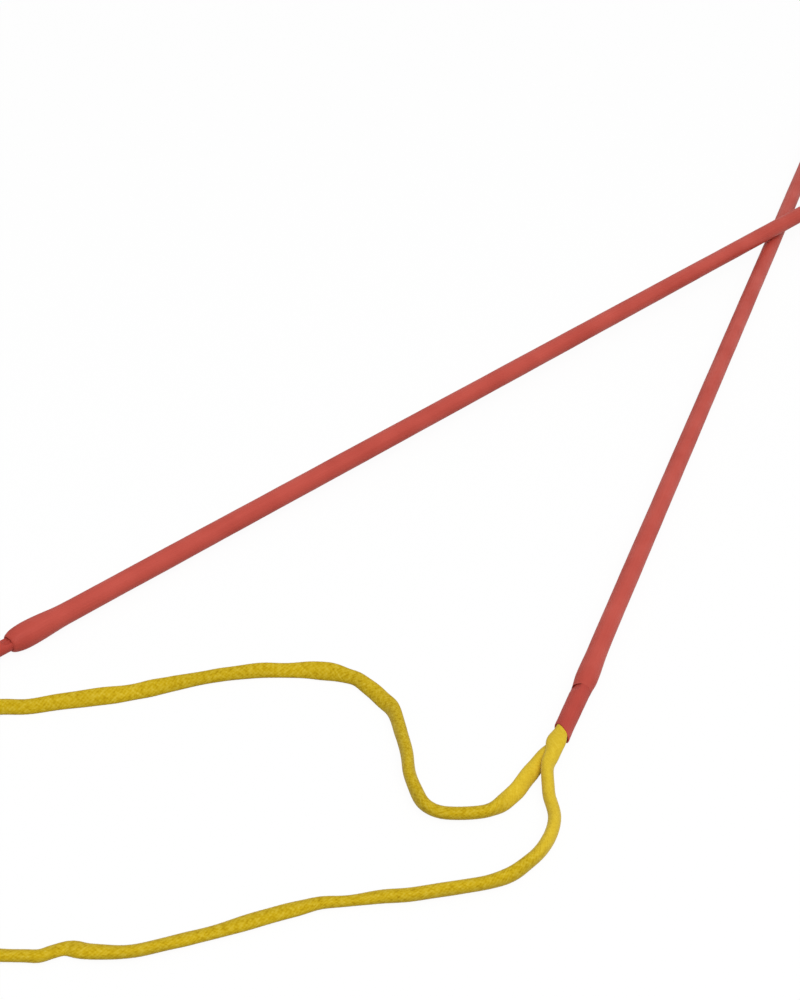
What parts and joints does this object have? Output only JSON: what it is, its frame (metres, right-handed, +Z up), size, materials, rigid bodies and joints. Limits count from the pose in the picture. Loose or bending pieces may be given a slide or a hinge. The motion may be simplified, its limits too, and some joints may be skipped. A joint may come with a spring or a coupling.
{
  "type": "bubble wand",
  "caption": "Bubble wand of two long red sleeved sticks whose tips are tied together by a loop of soft yellow cord; the sticks lie crossed and swing on the cord.",
  "frame": {"origin": "middle of the box round the two sticks, on the ground that they lie on", "axes": "+Z up from the ground, +Y from the cord tips towards the handle ends, +X from the left tip towards the right tip"},
  "size_m": [0.5805, 0.8411, 0.0226],
  "materials": {
    "core_wood": "turned, unfinished beech",
    "red_sleeve": "matte soft PVC",
    "red_tube": "matte soft PVC",
    "red_cap": "dip-moulded soft PVC",
    "yellow_cord": "knitted soft cotton cord"
  },
  "bodies": {
    "cord_loop": {"upper_cord": "yellow_cord", "lower_cord": "yellow_cord"},
    "left_stick": {"left_core": "core_wood", "left_sleeve": "red_sleeve", "left_cord_tube": "red_tube", "left_knot": "yellow_cord", "left_cap": "red_cap"},
    "right_stick": {"right_core": "core_wood", "right_sleeve": "red_sleeve", "right_cord_tube": "red_tube", "right_knot": "yellow_cord", "right_cap": "red_cap"}
  },
  "joints": [
    {"name": "left_stick_swing", "type": "hinge", "parent": "cord_loop", "child": "left_stick", "pos_m": [-0.26149, -0.3146, 0.00453], "axis": [0, 0, 1], "range_deg": [0, 35]},
    {"name": "right_stick_swing", "type": "hinge", "parent": "cord_loop", "child": "right_stick", "pos_m": [0.00722, -0.35786, 0.0054], "axis": [0, 0, 1], "range_deg": [-35, 0]}
  ]
}
